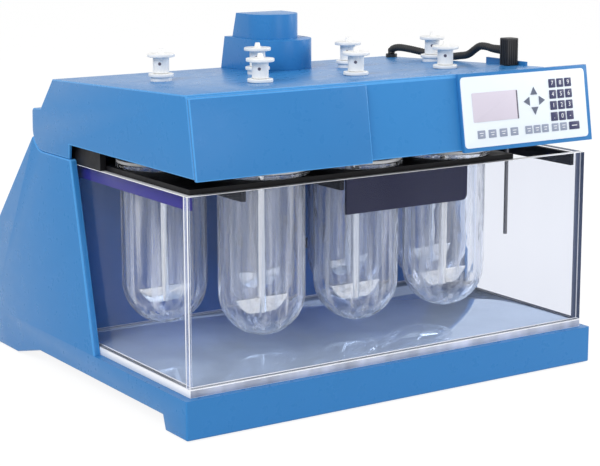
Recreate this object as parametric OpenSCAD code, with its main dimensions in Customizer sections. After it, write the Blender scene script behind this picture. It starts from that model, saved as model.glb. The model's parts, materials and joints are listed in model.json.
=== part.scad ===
/* [Overall] */
// Depth from the front of the head to the rear panel
overall_d = 580; // [540:5:640]

/* [Base] */
// How far the base stands out beside the bath
base_margin = 10; // [8:0.5:16]
// Height of the base
base_h = 50; // [44:1:70]
// How far the base stands ahead of the tank
base_lip = 9; // [4:1:20]
// Wall of the moulded base
base_wall = 6; // [4:0.5:10]
// Length of the front bar that the base stands on
front_bar = 58; // [45:1:80]
// Length of the rear bar that the base stands on
rear_bar = 76; // [50:1:100]
// Length of the slope that leads into the rear bar
rear_bar_slope = 73; // [40:1:100]
// Height of the arch between the two bars
arch_h = 20; // [10:1:24]
// Radius of a rubber foot
foot_r = 13; // [8:0.5:18]
// Height of a rubber foot
foot_h = 6; // [4:0.5:10]
// How far a rubber foot stands out of the base
foot_out = 2; // [1:0.5:4]

/* [Tank] */
// Width of the water bath
tank_w = 600; // [540:2:660]
// Depth of the water bath
tank_d = 312; // [306:1:330]
// Height of the water bath
tank_h = 237; // [225:1:260]
// Thickness of the bath's walls
tank_t = 8; // [5:0.5:8]
// Thickness of the bath's floor
floor_t = 10; // [6:0.5:14]

/* [Vessels] */
// Outer diameter of a glass vessel
vessel_od = 107; // [104:0.5:108]
// Wall of a glass vessel
vessel_wall = 2.5; // [1.5:0.1:3]
// Depth of a vessel from its rim to the inside of its round bottom
vessel_depth = 203; // [185:1:206]
// Diameter of a vessel's rim
rim_d = 118; // [114:0.5:120]
// Thickness of a vessel's rim
rim_t = 5; // [3:0.5:6]
// Free space between the bath's left wall and the first rim
rim_gap = 4.5; // [2:0.5:8]
// Free space between the last rim and the bath's right wall
row_free = 44.5; // [36:0.5:50]
// Distance between the front row and the rear row
row_gap = 118; // [114:0.5:124]
// Distance from the front of the bath to the front row
row_inset = 68; // [65:0.5:72]

/* [Vessel plate] */
// Thickness of the plate that carries the vessels
plate_t = 8; // [5:0.5:10]
// How far the plate lies below the top of the bath
plate_drop = 2; // [0:0.5:4]
// Height of the ribs under the plate
rib_h = 14; // [8:0.5:16]
// Gap round the plate and round each vessel
plate_gap = 0.6; // [0.3:0.1:1]
// Width of the open corner beside the front row
corner_w = 107; // [100:1:107]
// Depth of the open corner beside the front row
corner_d = 116; // [90:1:116]
// Height of the dark rails under the plate
rail_h = 17; // [12:0.5:28]
// Thickness of the dark rails under the plate
rail_t = 6; // [3:0.5:8]
// Width of the dark front apron
apron_w = 185; // [120:1:200]
// Height of the dark front apron
apron_h = 44; // [20:1:50]
// Thickness of the dark front apron
apron_t = 4; // [2:0.5:5]
// Sideways place of the apron's middle
apron_x = 18; // [0:1:40]

/* [Stirrers] */
// Diameter of a stirrer's shaft
shaft_d = 10; // [8:0.2:11]
// Width of a paddle across its top edge
paddle_w = 74.5; // [60:0.5:76]
// Radius of a paddle's rounded sides
paddle_r = 41.5; // [40:0.5:46]
// Height of a paddle
paddle_h = 19; // [15:0.5:22]
// Thickness of a paddle
paddle_t = 4; // [3:0.5:5]
// Distance from a paddle's lower edge to the bottom of its vessel
paddle_gap = 25; // [20:0.5:30]
// Diameter of a cap's body
cap_d = 20; // [16:0.5:24]
// Height of a cap's body
cap_h = 20; // [14:0.5:26]
// Diameter of the disc at the top of a cap
cap_disc_d = 34; // [26:0.5:38]
// Thickness of the disc at the top of a cap
cap_disc_t = 4; // [2:0.5:6]
// Height of the tip on a cap
cap_tip_h = 6; // [3:0.5:9]
// Diameter of the flange of a bush
bush_flange_d = 31; // [28:0.5:36]
// Thickness of the flange of a bush
bush_flange_t = 4; // [2:0.5:6]

/* [Head] */
// How much narrower the tilting head is than the base
head_short = 98; // [94:1:102]
// How far the head reaches ahead of the bath
head_overhang = 40; // [36:1:55]
// Height from the top of the bath to the lower edge of the hood
head_gap = 25; // [23:0.5:34]
// Height of the hood at its front
head_h = 93; // [88:1:110]
// How far the front leans back
head_lean = 15; // [5:0.5:25]
// How far the top reaches past the bath's depth
top_past = 33; // [28:1:40]
// How far the top falls towards the rear
top_fall = 14; // [6:0.5:20]
// Wall of the hood
hood_t = 4; // [2.5:0.25:5]
// Thickness of the plate inside the hood
chassis_t = 10; // [8:0.5:12]
// How far the front cover and the console stand ahead of the hood
front_t = 5; // [3:0.5:8]
// Width of the front cover
cover_w = 240; // [200:1:280]
// Width of the console
console_w = 208; // [206:1:240]
// How far the console reaches past the right end of the hood
console_past = 63; // [55:1:70]

/* [Hinge] */
// Distance from the rear of the bath to the hinge axis
hinge_back = 50; // [46:1:60]
// Height of the hinge axis over the top of the bath
hinge_up = 35; // [33:0.5:45]
// Radius of the rounded rear end of the hood
hinge_r = 28; // [24:0.5:28]
// Diameter of a hinge pin
pin_d = 12; // [8:0.5:14]
// Thickness of a hinge bracket and of a hinge lug
lug_t = 12; // [8:0.5:14]
// Radius of the round end of a bracket or lug
lug_r = 15; // [12:0.5:16]

/* [Column] */
// Wall of the column's housing and of the rear panel
column_t = 4; // [2.5:0.25:6]
// Height of the upright rear face
rear_h = 103; // [96:1:120]
// How far the cheek's front edge slants
cheek_slant = 53; // [20:1:70]

/* [Drive] */
// Radius of a station's pulley
pulley_r = 15; // [12:0.5:15.5]
// Radius of the motor's pulley
motor_pulley_r = 9; // [8:0.5:12]
// Thickness of a belt
belt_t = 2.5; // [1.5:0.25:4]
// Width of a belt
belt_w = 9; // [6:0.5:10]
// Radius of a spindle
spindle_r = 9; // [7:0.25:10]
// Radius of the motor's body
motor_r = 30; // [24:0.5:32]
// Height of the motor's body
motor_h = 56; // [50:1:58]
// Radius of the round front of the motor cover's lower tier
tier_r = 43.5; // [40:0.5:46]
// Radius of the round front of the motor cover's upper tier
tier2_r = 35.5; // [33:0.5:38]
// Height of the lower tier
tier_h = 38; // [36:0.5:44]
// Height of the upper tier
tier2_h = 32; // [20:0.5:40]

/* [Probe] */
// Diameter of the temperature probe
probe_d = 5; // [3:0.25:7]
// Width of the probe's handle
handle_w = 17; // [12:0.5:22]
// Height of the probe's handle
handle_h = 35; // [32:0.5:45]
// Diameter of the probe's cable
cable_d = 10; // [7:0.5:10]

/* [Hidden] */
$fn = 64;

// Clearances
eps = 0.5;
run = 0.05;
seat = 0.3;

// Main heights, from the bench upward
z_tank = base_h;
z_plate = z_tank + tank_h;
z_hood = z_plate + head_gap;
chassis_up = 1;
z_chassis = z_hood + chassis_up;
z_floor = z_chassis + chassis_t;
z_top = z_hood + head_h;
z_under = z_plate - plate_drop;
z_deck = z_under + plate_t;
z_rim = z_deck + rim_t;
z_vessel = z_rim - vessel_depth;
vessel_r = vessel_od / 2 - vessel_wall;
z_paddle = z_vessel + paddle_gap;

// Main places from front to rear
y_front = -overall_d / 2;
y_rear = overall_d / 2;
y_tank = y_front + head_overhang;
y_tank_rear = y_tank + tank_d;
y_row1 = y_tank + row_inset;
y_row2 = y_row1 + row_gap;
cover_drop = 2;
hood_y = y_front + front_t + head_lean * cover_drop / head_h;
hinge_y = y_tank_rear + hinge_back;
hinge_z = z_plate + hinge_up;
drop_y = hinge_y - 81;

// Base and head from side to side
base_w = tank_w + 2 * base_margin;
cheek_t = base_margin;
head_x0 = -base_w / 2;
head_x1 = base_w / 2 - head_short;

// Stations: four in the rear row, then three in the front row
pitch = (tank_w - 2 * tank_t - rim_d - rim_gap - row_free) / 3;
row_x0 = -tank_w / 2 + tank_t + rim_gap + rim_d / 2;
row_mid = row_x0 + 1.5 * pitch;
stations = [
  for (i = [0:3]) [row_x0 + i * pitch, y_row2],
  for (i = [0:2]) [row_x0 + (i + 0.5) * pitch, y_row1]
];

// Hood profile
bevel = 3;
top_len = tank_d + top_past;
chamfer = 35;
top_y0 = hood_y + head_lean;
top_y1 = top_y0 + top_len;
chamfer_y = top_y1 + chamfer;
ledge_z = hinge_z + hinge_r;
lean_angle = atan(head_lean / head_h);

function front_at(z) = hood_y + head_lean * (z - z_hood) / head_h;
function top_at(y) = z_top - top_fall * (y - top_y0) / top_len;
function arc(cy, cz, r, a0, a1, n) = [for (i = [0:n]) [cy + r * cos(a0 + (a1 - a0) * i / n),
                                                       cz + r * sin(a0 + (a1 - a0) * i / n)]];

// Front cover and console
panel_z0 = z_hood - cover_drop;
console_z1 = z_top;
console_x1 = head_x1 + console_past;
console_x0 = console_x1 - console_w;
arm_t = 4;
arm_z = z_top + 3;
arm_len = 119;
back_t = 14;
overlay_t = 0.8;
overlay_left = 1.5;
overlay_right = 6;
overlay_w = console_w - overlay_left - overlay_right;
overlay_low = 5;
overlay_high = 4;
overlay_h = (console_z1 - panel_z0) / cos(lean_angle) - overlay_low - overlay_high;
key_t = 0.6;

// Drive
pulley_up = 20;
z_pulley = z_hood + pulley_up;
groove = belt_w + 1.5;
pulley_h = 2 * groove + 3;
z_spindle_top = top_at(y_row2) - hood_t - 4;
motor_x = row_mid;
motor_y = y_tank_rear - 36;
bearing_r = 1.55 * spindle_r;
bearing_flange_r = 2 * spindle_r;
bearing_flange_t = 0.45 * spindle_r;
motor_flange_r = 46;
motor_flange_t = 6;
z_motor = z_pulley + pulley_h + 2;
tier_mid = [row_mid, y_tank_rear - 66];
tier2_mid = [tier_mid[0] - 3, tier_mid[1] + 14];

// Stirrers
z_bush = z_top - bush_flange_t + 1;
z_cap = z_bush + bush_flange_t + seat;
cap_bore_h = 17;

// Bath corner, probe and cable
corner_x = tank_w / 2 - tank_t - corner_w;
probe_x = head_x1 - 11;
probe_y = y_tank + row_inset / 2 + 6.5;
// The probe ends where it still swings clear of the bath's front wall as the head tilts
probe_clear = 2.5;
probe_reach = hinge_y - y_tank - tank_t - probe_clear;
probe_swing = pow(probe_reach, 2) + pow(hinge_z - z_plate, 2);
z_probe = hinge_z - sqrt(probe_swing - pow(hinge_y - probe_y + probe_d / 2, 2));
gland_x = probe_x;
gland_y = y_tank_rear - 16;
gland_h = 5;
cable_ring = 8;

// Cable from the gland to the handle: sideways bow, share of the way, height over the hood's top
cable_bow = [
  [0, 0, gland_h + seat], [0, 0, 10], [0, 0.035, 13.4], [0, 0.08, 14.4], [1, 0.139, 13.6], [4, 0.214, 11.2],
  [8, 0.29, 8.2], [12, 0.365, 5.6], [13.2, 0.437, 5.4], [12, 0.508, 5.6], [7, 0.587, 7.5], [3.5, 0.663, 9.5],
  [2, 0.706, 12.6], [1, 0.75, 18], [0.5, 0.794, 22.5], [0, 0.849, 22.7], [0, 0.9, 20.8], [0, 0.96, 19.8],
  [0, 1, 19.6]
];
cable_end = probe_y + handle_w / 2;
arm_step = probe_y - handle_w - 2.5;
cable_route = [for (p = cable_bow) let (y = gland_y + (cable_end - gland_y) * p[1])
               [gland_x + p[0], y, top_at(y) + p[2]]];

// Hinge brackets and lugs
bracket_x = [head_x0 + 28, head_x1 - 28 - lug_t];
lug_x = [head_x0 + 28 + lug_t + 2, head_x1 - 28 - 2 * lug_t - 2];
column_top = z_plate - 1;
column_front = y_tank_rear + column_t;

// Rear panel, set in between the cheeks, and what sits in it
panel_in = 4;
panel_y = y_rear - panel_in;
panel_mid = z_tank + rear_h * 7 / 15;
inlet_in = 110;
inlet_x = tank_w / 2 - inlet_in;
inlet_w = 28;
inlet_h = 24;
rocker_step = 38;
rocker_x = inlet_x + rocker_step;
rocker_w = 15;
rocker_h = 22;
rocker_r = 12.2;
rocker_y = panel_y - 9;
pivot_r = 1.5;
vent_n = 14;
vent_pitch = 22;
vent_w = 10;
vent_in = 70;
vent_x = vent_in - tank_w / 2;
vent_z = [z_tank + 0.24 * rear_h, z_tank + 0.70 * rear_h];

// Feet, column and heater
base_y0 = y_tank - base_lip;
foot_places = [for (x = [-1, 1], y = [base_y0 + front_bar / 2, y_rear - rear_bar / 2])
               [x * (base_w / 2 - 3 * foot_r), y]];
slope_top = [hinge_y + hinge_r + 2, hinge_z - 12];
cheek_reach = 85;
cheek_y0 = y_tank_rear - cheek_reach;
column_w = base_w / 2 - cheek_t;
port_up = 90;
port_z = z_tank + port_up;
port_x = [-60, 60];
port_r = 7;
heater_y = y_tank_rear + 20;
heater_size = [200, 70, 120];

// A profile in the Y and Z plane, drawn out along X
module slab(x0, x1, pts) {
  translate([x0, 0, 0])
    rotate([90, 0, 90])
      linear_extrude(x1 - x0)
        polygon(pts);
}

// A box from one corner to the opposite one
module box(a, b) {
  translate(a)
    cube(b - a);
}

// A ring that stands on its lower face
module ring(r_out, r_in, h) {
  difference() {
    cylinder(r = r_out, h = h);
    translate([0, 0, -eps])
      cylinder(r = r_in, h = h + 2 * eps);
  }
}

// Children at every station
module at_stations(z) {
  for (s = stations)
    translate([s[0], s[1], z])
      children();
}

module at_station(i, z) {
  translate([stations[i - 1][0], stations[i - 1][1], z])
    children();
}

// Base: a moulded tray on a front bar and a rear bar, open below
base_side = [
  [base_y0, foot_out], [base_y0 + front_bar - 6, foot_out], [base_y0 + front_bar, arch_h],
  [y_rear - rear_bar - rear_bar_slope, arch_h], [y_rear - rear_bar, foot_out], [y_rear, foot_out],
  [y_rear, base_h], [base_y0, base_h]
];

module base_plinth() {
  color("#2f74bd")
    difference() {
      slab(-base_w / 2, base_w / 2, base_side);
      box([-base_w / 2 + base_wall, base_y0 + front_bar, 0],
          [base_w / 2 - base_wall, y_rear - rear_bar - rear_bar_slope, base_h - base_wall]);
      for (p = foot_places)
        translate([p[0], p[1], 0])
          cylinder(r = foot_r + seat, h = foot_h);
    }
}

module rubber_feet() {
  color("#202022")
    for (p = foot_places)
      translate([p[0], p[1], 0])
        cylinder(r = foot_r, h = foot_h);
}

// Column: two cheeks, a bent housing between them and a flat rear panel
module side_cheeks() {
  rest = hinge_r + eps;
  cheek = concat(
    [[cheek_y0, z_tank], [y_rear, z_tank], [y_rear, z_tank + rear_h], slope_top],
    arc(hinge_y, hinge_z, rest, asin(-12 / rest), -90, 8),
    [[cheek_y0 + cheek_slant, hinge_z - rest]]
  );
  color("#3a80c8")
    for (x = [-base_w / 2, base_w / 2 - cheek_t])
      slab(x, x + cheek_t, cheek);
}

module column_housing() {
  t = column_t;
  lip = slope_top - [14, 22];
  outer = [[column_front, z_tank], [column_front, column_top], [lip[0], column_top], slope_top,
           [y_rear, z_tank + rear_h], [y_rear - 2 * t, z_tank + rear_h]];
  inner = [[slope_top[0] - 1, slope_top[1] - 1.5 * t], [lip[0] + 2, column_top - t],
           [column_front + t, column_top - t], [column_front + t, z_tank]];
  color("#3a80c8")
    difference() {
      slab(-column_w, column_w, concat(outer, inner));
      heater_ports();
    }
}

// A window through the rear panel about a middle point
module window(x, w, h) {
  translate([x - w / 2, panel_y - column_t - eps, panel_mid - h / 2])
    cube([w, column_t + 2 * eps, h]);
}

module rear_panel() {
  color("#3c3f44")
    difference() {
      box([-column_w, panel_y - column_t, z_tank], [column_w, panel_y, z_tank + rear_h]);
      for (i = [0:vent_n - 1])
        box([vent_x + i * vent_pitch, panel_y - column_t - eps, vent_z[0]],
            [vent_x + i * vent_pitch + vent_w, panel_y + eps, vent_z[1]]);
      window(inlet_x, inlet_w, inlet_h);
      window(rocker_x, rocker_w + 1, rocker_h + 2);
    }
}

// Mains inlet and switch frame in one moulding behind the panel
module mains_inlet() {
  y0 = panel_y - 24;
  y1 = panel_y - column_t;
  color("#1d1d1f")
    difference() {
      union() {
        box([inlet_x - inlet_w / 2 - 3, y0, panel_mid - inlet_h / 2 - 3],
            [rocker_x + rocker_w / 2 + 4, y1, panel_mid + inlet_h / 2 + 3]);
        box([inlet_x - inlet_w / 2 + seat, y1 - 1, panel_mid - inlet_h / 2 + seat],
            [inlet_x + inlet_w / 2 - seat, panel_y, panel_mid + inlet_h / 2 - seat]);
      }
      box([inlet_x - 11, y0 + 6, panel_mid - 8], [inlet_x + 11, panel_y + eps, panel_mid + 8]);
      box([rocker_x - rocker_w / 2 - eps, rocker_y - 13, panel_mid - 13],
          [rocker_x + rocker_w / 2 + eps, panel_y, panel_mid + 13]);
      translate([rocker_x - rocker_w / 2 - 3, rocker_y, panel_mid])
        rotate([0, 90, 0])
          cylinder(r = pivot_r + run, h = rocker_w + 6);
    }
}

// Rocker that tips about its pivot
module power_rocker() {
  color("#2a2a2d") {
    intersection() {
      box([rocker_x - rocker_w / 2, rocker_y - 3, panel_mid - rocker_h / 2],
          [rocker_x + rocker_w / 2, rocker_y + rocker_r, panel_mid + rocker_h / 2]);
      translate([rocker_x - rocker_w / 2, rocker_y, panel_mid])
        rotate([0, 90, 0])
          cylinder(r = rocker_r, h = rocker_w);
    }
    translate([rocker_x - rocker_w / 2 - 2, rocker_y, panel_mid])
      rotate([0, 90, 0])
        cylinder(r = pivot_r, h = rocker_w + 4);
  }
}

// Pump and heater that keep the bath warm, on the base inside the column
module heater_ports() {
  for (x = port_x)
    translate([x, y_tank_rear - tank_t - eps, port_z])
      rotate([-90, 0, 0])
        cylinder(r = port_r + seat, h = tank_t + 3 * column_t + 2 * eps);
}

module circulation_heater() {
  reach = heater_y - y_tank_rear + tank_t + 10;
  color("#8f9397")
    difference() {
      union() {
        translate([-heater_size[0] / 2, heater_y, z_tank])
          cube(heater_size);
        translate([0, heater_y + heater_size[1] / 2, z_tank + heater_size[2] - eps])
          cylinder(r = 26, h = 30);
        for (x = port_x)
          translate([x, heater_y - reach, port_z])
            rotate([-90, 0, 0])
              cylinder(r = port_r, h = reach + 2);
      }
      for (x = port_x)
        translate([x, heater_y - reach - eps, port_z])
          rotate([-90, 0, 0])
            cylinder(r = port_r - 2, h = reach + 10);
    }
}

// Bath: a floor and four clear sheets
module tank_floor() {
  color("#dfe6ee", 0.4)
    box([-tank_w / 2, y_tank, z_tank], [tank_w / 2, y_tank_rear, z_tank + floor_t]);
}

module tank_front_wall() {
  color("#dfe6ee", 0.3)
    box([-tank_w / 2, y_tank, z_tank + floor_t], [tank_w / 2, y_tank + tank_t, z_plate]);
}

module tank_rear_wall() {
  color("#dfe6ee", 0.3)
    difference() {
      box([-tank_w / 2, y_tank_rear - tank_t, z_tank + floor_t], [tank_w / 2, y_tank_rear, z_plate]);
      heater_ports();
    }
}

module tank_side_walls() {
  color("#dfe6ee", 0.3)
    for (x = [-tank_w / 2, tank_w / 2 - tank_t])
      box([x, y_tank + tank_t, z_tank + floor_t], [x + tank_t, y_tank_rear - tank_t, z_plate]);
}

// Vessel plate with an open corner and a rib beside each front vessel, on two dark rails
module vessel_plate() {
  in = tank_t + plate_gap;
  rib_x = vessel_od / 2 + 1.5;
  rib_y0 = y_tank + in + apron_t + plate_gap;
  rib_y1 = y_row1 + rib_x;
  color("#1b1b1d") {
    difference() {
      box([-tank_w / 2 + in, y_tank + in, z_under], [tank_w / 2 - in, y_tank_rear - in, z_deck]);
      box([corner_x, y_tank, z_under - eps], [tank_w / 2, y_tank + corner_d, z_deck + eps]);
      at_stations(z_under - eps)
        cylinder(r = vessel_od / 2 + plate_gap, h = plate_t + 2 * eps);
    }
    for (i = [4:6])
      translate([stations[i][0] - rib_x - rail_t, rib_y0, z_under - rib_h])
        cube([rail_t, rib_y1 - rib_y0, rib_h + eps]);
  }
}

module plate_rails() {
  color("#231f57")
    for (x = [-tank_w / 2 + tank_t, tank_w / 2 - tank_t - rail_t])
      box([x, y_tank + tank_t + 4, z_under - rail_h], [x + rail_t, y_tank_rear - tank_t - 4, z_under]);
}

// Dark apron under the plate's front edge, with one rounded lower corner
module front_apron() {
  y0 = y_tank + tank_t + plate_gap;
  x0 = apron_x - apron_w / 2;
  r = 8;
  color("#1d1b45")
    translate([x0, y0 + apron_t, z_under - apron_h])
      rotate([90, 0, 0])
        linear_extrude(apron_t)
          union() {
            square([apron_w - r, apron_h]);
            translate([0, r])
              square([apron_w, apron_h - r]);
            translate([apron_w - r, r])
              circle(r = r);
          }
}

// Black blocks on which the closed head rests
module head_rests() {
  w = tank_t;
  x1 = head_x1 - hood_t - w;
  y1 = y_tank_rear - 2 * w;
  color("#17171a") {
    box([-tank_w / 2, y_row2 + rim_d / 4, z_plate], [-tank_w / 2 + w, y1, z_chassis - seat]);
    box([x1 - w, y_row2 + rim_d / 2 + rim_gap, z_deck], [x1, y1, z_chassis - seat]);
  }
}

// Brackets on the column with a true bore on the hinge axis
module hinge_brackets() {
  color("#6d7176")
    for (x = bracket_x)
      difference() {
        union() {
          slab(x, x + lug_t, [[column_front + 2, column_top], [column_front + 34, column_top],
                              [hinge_y + lug_r * cos(-50), hinge_z + lug_r * sin(-50)],
                              [hinge_y + lug_r * cos(145), hinge_z + lug_r * sin(145)]]);
          translate([x, hinge_y, hinge_z])
            rotate([0, 90, 0])
              cylinder(r = lug_r, h = lug_t);
        }
        translate([x - eps, hinge_y, hinge_z])
          rotate([0, 90, 0])
            cylinder(r = pin_d / 2 + run, h = lug_t + 2 * eps);
      }
}

module hinge_pins() {
  color("#c9ccd0")
    for (i = [0, 1])
      translate([min(bracket_x[i], lug_x[i]) - 1, hinge_y, hinge_z])
        rotate([0, 90, 0])
          cylinder(r = pin_d / 2, h = 2 * lug_t + 4);
}

// Glass vessel with a round bottom and a flat rim
module vessel() {
  r = vessel_od / 2;
  zc = z_vessel + vessel_r;
  difference() {
    union() {
      translate([0, 0, zc])
        sphere(r = r);
      translate([0, 0, zc])
        cylinder(r = r, h = z_rim - zc);
      translate([0, 0, z_deck])
        cylinder(r = rim_d / 2, h = rim_t);
    }
    translate([0, 0, zc])
      sphere(r = vessel_r);
    translate([0, 0, zc])
      cylinder(r = vessel_r, h = z_rim - zc + eps);
  }
}

module vessels(first, last) {
  color("#e8eef2", 0.35)
    for (i = [first:last])
      at_station(i, 0)
        vessel();
}

module rear_left_vessels() {
  vessels(1, 2);
}

module rear_right_vessels() {
  vessels(3, 4);
}

module front_vessels() {
  vessels(5, 7);
}

// Hood: one bent shell with a leaning front, a falling top and a rounded rear end
function hood_outer() = concat(
  [[hood_y, z_hood], [front_at(z_top - bevel), z_top - bevel], [top_y0 + bevel, top_at(top_y0 + bevel)],
   [top_y1, top_at(top_y1)], [chamfer_y, ledge_z + 3], [chamfer_y + 2, ledge_z],
   [hinge_y + hinge_r - 4, ledge_z - 2], [hinge_y + hinge_r - 1, ledge_z - 5]],
  arc(hinge_y, hinge_z, hinge_r, 0, -90, 10),
  [[drop_y + 2, hinge_z - hinge_r], [drop_y, z_hood]]
);

function hood_inner() = [
  [hood_y + hood_t, hinge_z - hinge_r - 2], [hood_y + hood_t, z_hood],
  [front_at(z_top - bevel) + hood_t, z_top - bevel], [top_y0 + bevel + 3, top_at(top_y0) - hood_t],
  [top_y1 - 2, top_at(top_y1) - hood_t], [chamfer_y - 3, ledge_z + 2 - hood_t],
  [hinge_y + hinge_r - hood_t - 1, ledge_z - 2 - hood_t], [hinge_y + hinge_r - hood_t, hinge_z],
  [hinge_y + hinge_r - hood_t, hinge_z - hinge_r - 2]
];

module head_hood() {
  color("#3a80c8")
    difference() {
      slab(head_x0, head_x1, hood_outer());
      slab(head_x0 + hood_t, head_x1 - hood_t, hood_inner());
      at_stations(z_hood)
        cylinder(r = bush_flange_d / 2 - 2.5 + run, h = head_h + 10);
      translate([motor_x, motor_y, z_hood])
        cylinder(r = motor_r + 5, h = head_h + 10);
      translate([probe_x, probe_y, z_hood])
        cylinder(r = handle_w / 2 - 2, h = head_h + 10);
      translate([gland_x, gland_y, z_hood])
        cylinder(r = cable_d / 2 + 1.5, h = head_h + 10);
    }
}

// Black plate inside the hood, with the hinge lugs at its rear corners
module head_chassis() {
  tail_in = 100;
  tail_gap = 20;
  wide_y = drop_y + tail_gap;
  color("#19191b")
    difference() {
      union() {
        box([head_x0 + hood_t, front_at(z_floor) + hood_t, z_chassis], [head_x1 - hood_t, wide_y, z_floor]);
        box([head_x0 + tail_in, wide_y - 1, z_chassis], [head_x1 - tail_in, hinge_y - tail_gap, z_floor]);
        for (x = lug_x) {
          slab(x, x + lug_t, [[drop_y, z_chassis], [wide_y, z_chassis],
                              [hinge_y + lug_r * cos(-70), hinge_z + lug_r * sin(-70)],
                              [hinge_y + lug_r * cos(110), hinge_z + lug_r * sin(110)],
                              [drop_y, z_floor]]);
          translate([x, hinge_y, hinge_z])
            rotate([0, 90, 0])
              cylinder(r = lug_r, h = lug_t);
        }
      }
      for (x = lug_x)
        translate([x - eps, hinge_y, hinge_z])
          rotate([0, 90, 0])
            cylinder(r = pin_d / 2, h = lug_t + 2 * eps);
      at_stations(z_chassis - eps)
        cylinder(r = bearing_r + run, h = chassis_t + 2 * eps);
      translate([probe_x, probe_y, z_chassis - eps])
        cylinder(r = probe_d / 2 + seat, h = chassis_t + 2 * eps);
    }
}

// A leaning plate on the hood's front, drawn out along X
function front_plate(z0, z1) = [
  [front_at(z0) - front_t, z0], [front_at(z1) - front_t, z1], [front_at(z1), z1], [front_at(z0), z0]
];

module front_cover() {
  color("#2f70ba")
    slab(head_x0, head_x0 + cover_w, front_plate(panel_z0, z_top - bevel));
}

// Console: a leaning plate with a shallow back, carried past the hood's end by an arm
module console_housing() {
  arm_y = front_at(arm_z) + arm_len;
  arm_low = z_top - arm_t;
  back_z = z_top - back_t / 2;
  color("#2f70ba") {
    slab(console_x0, console_x1, front_plate(panel_z0, console_z1));
    slab(head_x1, head_x1 + arm_t, [[front_at(z_hood) - eps, z_hood], [front_at(arm_low) - eps, arm_low],
                                    [arm_step, arm_low], [arm_step, arm_z], [arm_y, arm_z],
                                    [arm_y, arm_z - 2 * back_t]]);
    slab(head_x1 + arm_t - eps, console_x1 - arm_t,
         [[front_at(z_hood) - eps, z_hood], [front_at(back_z) - eps, back_z],
          [front_at(back_z) + back_t, back_z - back_t / 2], [front_at(z_hood) + back_t, z_hood]]);
  }
}

// Children on the console's leaning face: X to the right, Z up the face, -Y outward
module on_console(x, s, out) {
  translate([console_x0, front_at(panel_z0) - front_t, panel_z0])
    rotate([-lean_angle, 0, 0])
      translate([x, -out, s])
        children();
}

// A thin tile on the console, from its lower left corner
module tile(x, s, w, h) {
  on_console(x, s, overlay_t + key_t)
    cube([w, key_t, h]);
}

module keypad_overlay() {
  color("#f2f4f6")
    on_console(overlay_left, overlay_low, overlay_t)
      cube([overlay_w, overlay_t, overlay_h]);
}

lcd = [17, 36, 72, 36];

module display_window() {
  color("#b9aeb4")
    tile(lcd[0], lcd[1], lcd[2], lcd[3]);
}

// One raised key about its middle
module key(x, s, w, h) {
  tile(x - w / 2, s - h / 2, w, h);
}

// Keys: a lower row in groups, four arrow keys and the number keys
soft_s = 20.5;
soft_h = 10;
soft_keys = [[27.5, 12], [45, 12], [62.5, 12], [80, 12], [103.5, 11], [117, 11], [130.5, 11],
             [147, 11], [161, 11]];
enter_key = [179, 17];
arrow_mid = [116, 56];
arrow_r = 12;
arrow_w = 9;
digit_at = [147, 34];
digit_step = [13.2, 14];
digit_size = [11, 11];

module keypad_keys() {
  color("#8d929c") {
    for (k = soft_keys)
      key(k[0], soft_s, k[1], soft_h);
    for (a = [0:90:270])
      key(arrow_mid[0] + arrow_r * cos(a), arrow_mid[1] + arrow_r * sin(a), arrow_w, arrow_w);
  }
  color("#262a52") {
    key(enter_key[0], soft_s, enter_key[1], soft_h);
    for (i = [0:2], j = [0:3])
      key(digit_at[0] + digit_step[0] * i, digit_at[1] + digit_step[1] * j, digit_size[0], digit_size[1]);
  }
}

// Motor cover: two tiers with a round front and a leaning rear
module tier(mid, r, y1, z0, z1, back) {
  intersection() {
    translate([mid[0], mid[1], z0])
      union() {
        cylinder(r = r, h = z1 - z0);
        translate([-r, 0, 0])
          cube([2 * r, y1 - mid[1], z1 - z0]);
      }
    slab(mid[0] - r - eps, mid[0] + r + eps,
         [[mid[1] - r - eps, z0], [y1, z0], [y1 - back, z1], [mid[1] - r - eps, z1]]);
  }
}

module motor_cover() {
  t = 3;
  z0 = top_at(tier_mid[1] - tier_r) + 0.2;
  z1 = z0 + tier_h;
  z2 = z1 + tier2_h;
  y1 = top_y1 - 4;
  back = 10;
  step = 12;
  foot = 5;
  difference() {
    color("#2f70ba")
      union() {
        tier(tier_mid, tier_r, y1, z0 - foot, z1, back);
        tier(tier2_mid, tier2_r, y1 - back - step, z1, z2, back);
      }
    tier(tier_mid, tier_r - t, y1 - t, z0 - foot - 1, z1 - t, back);
    tier(tier2_mid, tier2_r - t, y1 - back - step - t, z1 - t - eps, z2 - t, back);
    slab(tier_mid[0] - tier_r - 1, tier_mid[0] + tier_r + 1,
         [[y_front, z0 - 20], [y_rear, z0 - 20], [y_rear, top_at(y_rear)], [y_front, top_at(y_front)]]);
  }
}

// Motor on a three-legged stand
module drive_motor() {
  color("#4a4d52")
    difference() {
      translate([motor_x, motor_y, 0])
        union() {
          translate([0, 0, z_motor])
            cylinder(r = motor_flange_r, h = motor_flange_t);
          translate([0, 0, z_motor])
            cylinder(r = motor_r, h = motor_h);
          for (p = [[-1, 0], [1, 0], [0, 1]])
            translate([p[0] * (motor_flange_r - 6), p[1] * (motor_flange_r - 16), z_floor])
              cylinder(r = 5, h = z_motor - z_floor + 1);
        }
      translate([motor_x, motor_y, z_motor - eps])
        cylinder(r = 5 + run, h = 30);
    }
}

// A pulley body with two belt grooves between three flanges
module pulley(r) {
  difference() {
    cylinder(r = r + 3, h = pulley_h);
    for (i = [0, 1])
      translate([0, 0, 1 + i * (groove + 1)])
        ring(r + 4, r, groove);
  }
}

module motor_pulley() {
  color("#b9bcc0")
    translate([motor_x, motor_y, 0]) {
      translate([0, 0, z_pulley])
        pulley(motor_pulley_r);
      translate([0, 0, z_pulley])
        cylinder(r = 5, h = z_motor - z_pulley + 25);
    }
}

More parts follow.
